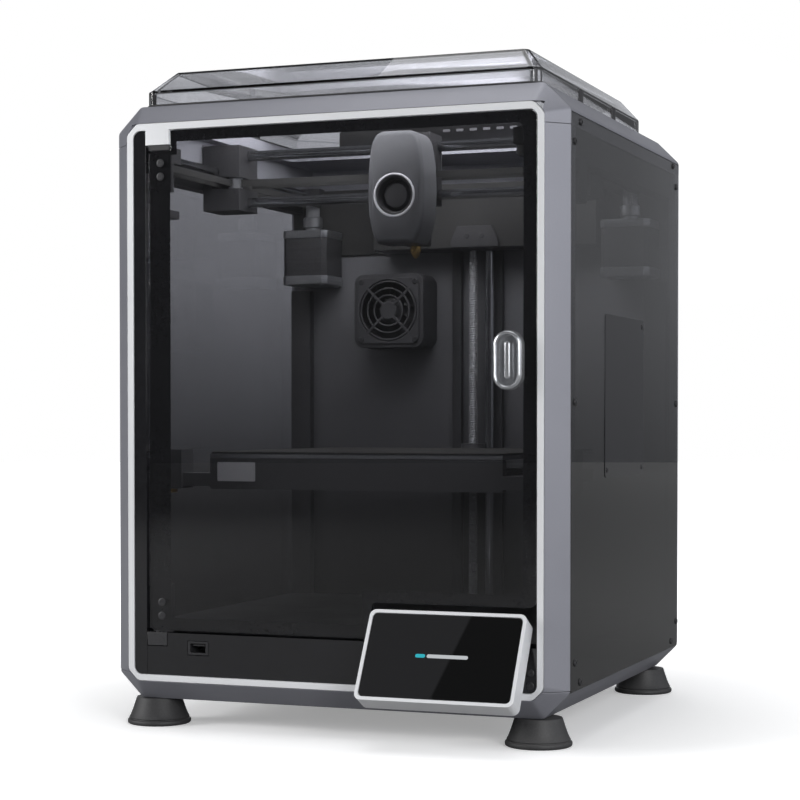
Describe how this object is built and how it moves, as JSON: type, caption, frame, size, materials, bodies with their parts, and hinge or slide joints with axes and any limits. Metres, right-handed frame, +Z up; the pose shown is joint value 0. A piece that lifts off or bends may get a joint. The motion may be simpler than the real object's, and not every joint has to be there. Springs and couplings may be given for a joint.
{
  "type": "fdm printer",
  "caption": "Enclosed box-shaped desktop filament printer with a hinged glass door, lift-off hood, leaning touchscreen, belt-driven tool head and screw-driven bed.",
  "frame": {"origin": "bottom centre of the bounding box, on the surface the feet stand on", "axes": "+X to the right when facing the door, +Y from the door to the back, +Z up"},
  "size_m": [0.355, 0.394, 0.494],
  "materials": {
    "frame_coating": "satin blue-grey powder coat on aluminium, fine grain",
    "ring_silver": "satin silver anodised",
    "dark_plastic": "fine moulded texture",
    "gloss_black": "polished",
    "door_glass": "smoked tempered glass, polished",
    "side_acrylic": "smoked sheet, polished",
    "lid_acrylic": "smoked sheet, polished",
    "rubber": "matte",
    "steel": "ground and polished shaft",
    "dark_steel": "black coat",
    "aluminium": "machined",
    "brass": "turned",
    "circuit_board": "solder mask",
    "cover_grey": "satin metallic grey paint",
    "plate_black": "textured powder coat"
  },
  "bodies": {
    "root": {"foot_front_left": "rubber", "foot_front_right": "rubber", "foot_rear_left": "rubber", "foot_rear_right": "rubber", "bottom_frame": "frame_coating", "top_frame": "frame_coating", "post_front_left": "frame_coating", "post_rear_left": "frame_coating", "side_panel_left": "side_acrylic", "side_rail_left": "dark_plastic", "side_rod_left": "steel", "drive_motor_left": "dark_steel", "drive_belt_left": "rubber", "post_front_right": "frame_coating", "post_rear_right": "frame_coating", "side_panel_right": "side_acrylic", "side_rail_right": "dark_plastic", "side_rod_right": "steel", "drive_motor_right": "dark_steel", "drive_belt_right": "rubber", "front_ring": "ring_silver", "lower_front_panel": "gloss_black", "floor_deck": "dark_plastic", "rear_panel": "dark_plastic", "rear_wall": "dark_plastic", "chamber_fan_housing": "dark_plastic", "lift_motor": "dark_steel", "lift_belt": "rubber", "power_supply": "aluminium", "mainboard": "circuit_board", "power_inlet": "dark_plastic", "usb_socket": "steel", "screen_housing": "ring_silver", "screen_glass": "gloss_black", "hinge_block_bottom": "dark_plastic"},
    "door": {"door_glass": "door_glass", "door_handle": "ring_silver", "door_hinge_top": "dark_plastic", "door_hinge_bottom": "dark_plastic"},
    "lid": {"lid": "lid_acrylic"},
    "gantry": {"cross_rod_upper": "steel", "cross_rod_lower": "steel", "side_carriage_left": "dark_plastic", "side_carriage_right": "dark_plastic"},
    "tool_head": {"tool_carriage": "dark_plastic", "tool_cover": "cover_grey", "hotend": "aluminium", "nozzle": "brass"},
    "tool_fan_rotor": {"tool_fan": "dark_plastic"},
    "bed": {"bed_carrier": "dark_steel", "heated_bed": "aluminium", "build_plate": "plate_black"},
    "screw_front_left": {"lead_screw_front_left": "steel"},
    "screw_front_right": {"lead_screw_front_right": "steel"},
    "screw_rear": {"lead_screw_rear": "steel"},
    "lift_pulley_rotor": {"lift_pulley": "aluminium"},
    "drive_rotor_left": {"drive_pulley_left": "aluminium"},
    "drive_rotor_right": {"drive_pulley_right": "aluminium"},
    "chamber_fan_rotor": {"chamber_fan_impeller": "dark_plastic"},
    "rocker": {"power_rocker": "gloss_black"}
  },
  "joints": [
    {"name": "door_swing", "type": "hinge", "parent": "root", "child": "door", "pos_m": [-0.14, -0.152, 0.25], "axis": [0, 0, -1], "range_deg": [0, 115]},
    {"name": "lid_lift", "type": "slide", "parent": "root", "child": "lid", "axis": [0, 0, 1], "range_m": [0, 0.06]},
    {"name": "gantry_travel", "type": "slide", "parent": "root", "child": "gantry", "axis": [0, 1, 0], "range_m": [-0.0815, 0.1385]},
    {"name": "tool_travel", "type": "slide", "parent": "gantry", "child": "tool_head", "axis": [1, 0, 0], "range_m": [-0.127, 0.093]},
    {"name": "tool_fan_spin", "type": "hinge", "parent": "tool_head", "child": "tool_fan_rotor", "pos_m": [0.017, -0.059, 0.401], "axis": [0, 1, 0], "continuous": true},
    {"name": "bed_travel", "type": "slide", "parent": "root", "child": "bed", "axis": [0, 0, 1], "range_m": [-0.098, 0.1495]},
    {"name": "screw_front_left_turn", "type": "hinge", "parent": "root", "child": "screw_front_left", "pos_m": [-0.16, -0.102, 0.2], "axis": [0, 0, 1], "continuous": true},
    {"name": "screw_front_right_turn", "type": "hinge", "parent": "root", "child": "screw_front_right", "pos_m": [0.16, -0.102, 0.2], "axis": [0, 0, 1], "continuous": true},
    {"name": "screw_rear_turn", "type": "hinge", "parent": "root", "child": "screw_rear", "pos_m": [0.004, 0.155, 0.2], "axis": [0, 0, 1], "continuous": true},
    {"name": "lift_pulley_turn", "type": "hinge", "parent": "root", "child": "lift_pulley_rotor", "pos_m": [0.08016, 0.03242, 0.065], "axis": [0, 0, 1], "continuous": true},
    {"name": "drive_left_turn", "type": "hinge", "parent": "root", "child": "drive_rotor_left", "pos_m": [-0.143, 0.146, 0.41], "axis": [0, 0, 1], "continuous": true},
    {"name": "drive_right_turn", "type": "hinge", "parent": "root", "child": "drive_rotor_right", "pos_m": [0.143, 0.146, 0.41], "axis": [0, 0, 1], "continuous": true},
    {"name": "chamber_fan_spin", "type": "hinge", "parent": "root", "child": "chamber_fan_rotor", "pos_m": [-0.066, 0.148, 0.325], "axis": [0, 1, 0], "continuous": true},
    {"name": "power_rocker_tilt", "type": "hinge", "parent": "root", "child": "rocker", "pos_m": [0.0765, 0.189, 0.061], "axis": [1, 0, 0], "range_deg": [-7, 7]}
  ],
  "couplings": [
    {"joint": "screw_front_left_turn", "follows": "bed_travel", "rad_per_m": 785.4},
    {"joint": "screw_front_right_turn", "follows": "bed_travel", "rad_per_m": 785.4},
    {"joint": "screw_rear_turn", "follows": "bed_travel", "rad_per_m": 785.4},
    {"joint": "lift_pulley_turn", "follows": "bed_travel", "rad_per_m": 952},
    {"joint": "drive_left_turn", "follows": "gantry_travel", "rad_per_m": 156.25},
    {"joint": "drive_right_turn", "follows": "gantry_travel", "rad_per_m": -156.25}
  ]
}
